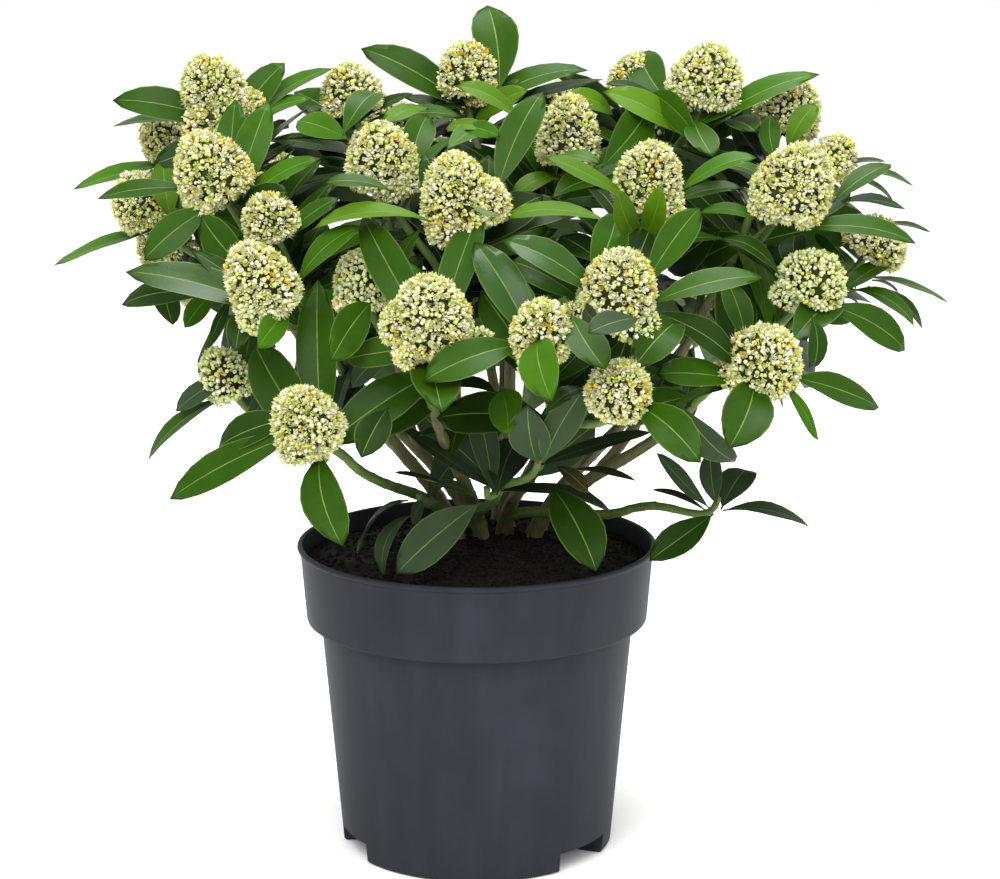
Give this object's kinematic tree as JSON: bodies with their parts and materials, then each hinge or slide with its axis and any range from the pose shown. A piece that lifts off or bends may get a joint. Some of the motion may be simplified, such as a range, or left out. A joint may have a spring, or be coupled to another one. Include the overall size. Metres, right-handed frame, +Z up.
{
  "type": "potted skimmia",
  "caption": "Bushy evergreen skimmia with glossy leaves and domed cream flower heads on a clump of woody stems, in a round tapered nursery pot with a wide rim band.",
  "frame": {"origin": "centre of the pot's flat underside", "axes": "+Z up along the pot's axis, -Y towards the front that the picture shows, +X to its right"},
  "size_m": [0.5549, 0.5007, 0.5359],
  "materials": {
    "pot plastic": "satin",
    "peat": "matte",
    "bark": "matte",
    "leafage": "satin"
  },
  "bodies": {
    "root": {"pot": "pot plastic", "soil": "peat", "stem_left_top": "bark", "stem_left_front": "bark", "stem_front_left": "bark", "stem_front_middle": "bark", "stem_right_outer": "bark", "stem_top_middle": "bark", "stem_back_left": "bark", "stem_back_middle": "bark", "stem_back_right": "bark", "bough_left_low": "bark", "bough_top_left": "bark", "bough_front_top": "bark", "bough_front_right": "bark", "bough_top_right": "bark", "bough_right_top": "bark", "bough_back_top_right": "bark", "bough_back_top_left": "bark", "bough_low_left": "bark", "bough_low_middle": "bark", "bough_low_right": "bark", "foliage_back_left": "leafage", "foliage_back_middle": "leafage", "foliage_back_right": "leafage", "foliage_back_top_left": "leafage", "foliage_back_top_right": "leafage", "foliage_front_left": "leafage", "foliage_front_middle": "leafage", "foliage_front_right": "leafage", "foliage_front_top": "leafage", "foliage_left_front": "leafage", "foliage_left_low": "leafage", "foliage_left_top": "leafage", "foliage_low_left": "leafage", "foliage_low_middle": "leafage", "foliage_low_right": "leafage", "foliage_right_outer": "leafage", "foliage_right_top": "leafage", "foliage_top_left": "leafage", "foliage_top_middle": "leafage", "foliage_top_right": "leafage"}
  },
  "joints": []
}
